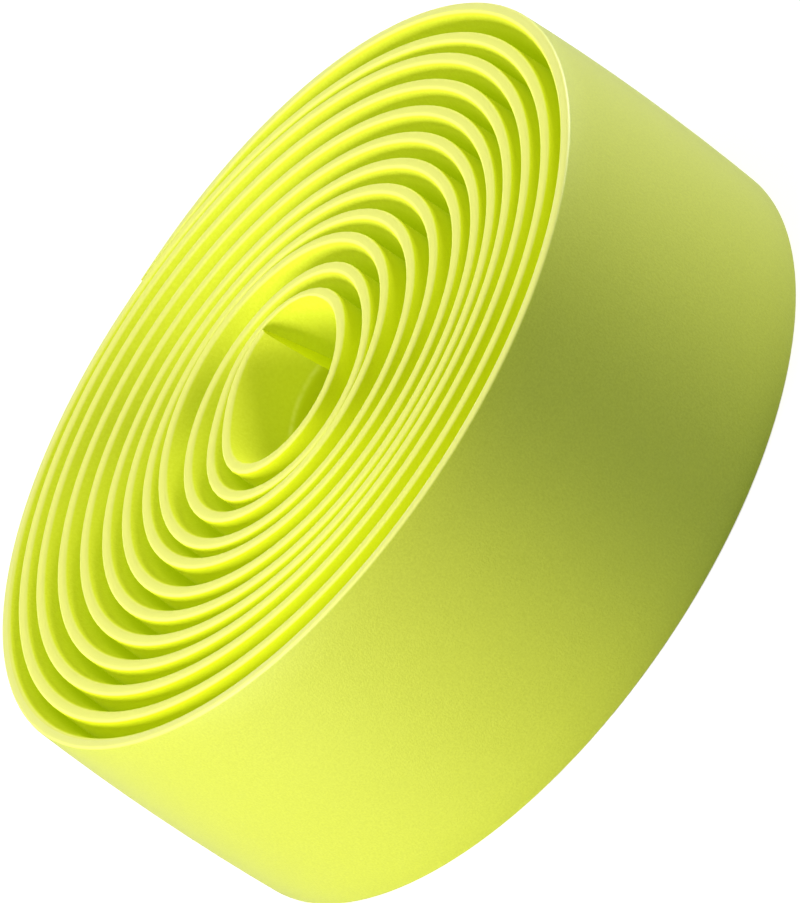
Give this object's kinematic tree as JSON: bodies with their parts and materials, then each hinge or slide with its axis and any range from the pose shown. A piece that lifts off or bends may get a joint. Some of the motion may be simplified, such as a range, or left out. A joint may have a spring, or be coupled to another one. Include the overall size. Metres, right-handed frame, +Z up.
{
  "type": "handlebar tape roll",
  "caption": "Soft foam handlebar tape wound into a flat round roll with an open core, standing on its end.",
  "frame": {"origin": "middle of the flat end that the roll stands on", "axes": "+Z up along the winding's axis; the picture looks along +Y and down"},
  "size_m": [0.0846, 0.084, 0.03],
  "materials": {
    "foam": "soft matt foam with a fine grain and paler cut edges"
  },
  "bodies": {
    "root": {"tape_roll": "foam"}
  },
  "joints": []
}
